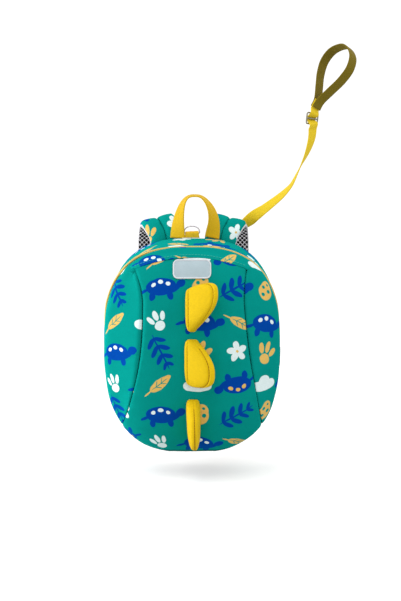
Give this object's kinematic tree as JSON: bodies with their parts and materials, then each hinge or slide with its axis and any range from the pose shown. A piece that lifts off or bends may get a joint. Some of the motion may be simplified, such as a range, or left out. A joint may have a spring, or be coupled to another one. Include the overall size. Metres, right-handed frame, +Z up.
{
  "type": "kids backpack with safety rein",
  "caption": "Small egg-shaped child's backpack with a domed front, stuffed crest spikes, padded straps, a webbing handle, a D-ring and a safety rein with a hand loop.",
  "frame": {"origin": "on the face of the back panel that lies on the wearer's back, in the middle, at the bag's widest level", "axes": "+Z up, +X to the right seen from the front, +Y towards the wearer, so the front of the bag faces -Y"},
  "size_m": [0.3078, 0.2107, 0.4921],
  "materials": {
    "printed_neoprene": "matte",
    "piping_cord": "matte",
    "zip_nylon": "satin",
    "air_mesh": "matte",
    "spike_cloth": "matte",
    "webbing": "matte",
    "badge_rubber": "satin",
    "plated_wire": "polished"
  },
  "bodies": {
    "pack": {"front_panel": "printed_neoprene", "rim_panel": "printed_neoprene", "gusset_front": "printed_neoprene", "gusset_back": "printed_neoprene", "gusset_base": "printed_neoprene", "strap_left": "printed_neoprene", "strap_right": "printed_neoprene", "piping": "piping_cord", "zip_closure": "zip_nylon", "zip_pull": "zip_nylon", "back_panel": "air_mesh", "strap_webbing_left": "webbing", "strap_webbing_right": "webbing", "handle": "webbing", "ring_tab": "webbing", "badge": "badge_rubber", "spike_top": "spike_cloth", "spike_middle": "spike_cloth", "spike_bottom": "spike_cloth", "rein_strap": "webbing", "rein_slider": "plated_wire", "rein_loop": "webbing"},
    "ring": {"d_ring": "plated_wire"}
  },
  "joints": [
    {"name": "ring_swing", "type": "hinge", "parent": "pack", "child": "ring", "pos_m": [0, -0.002, 0.1309], "axis": [1, 0, 0], "range_deg": [-95, 50]}
  ]
}
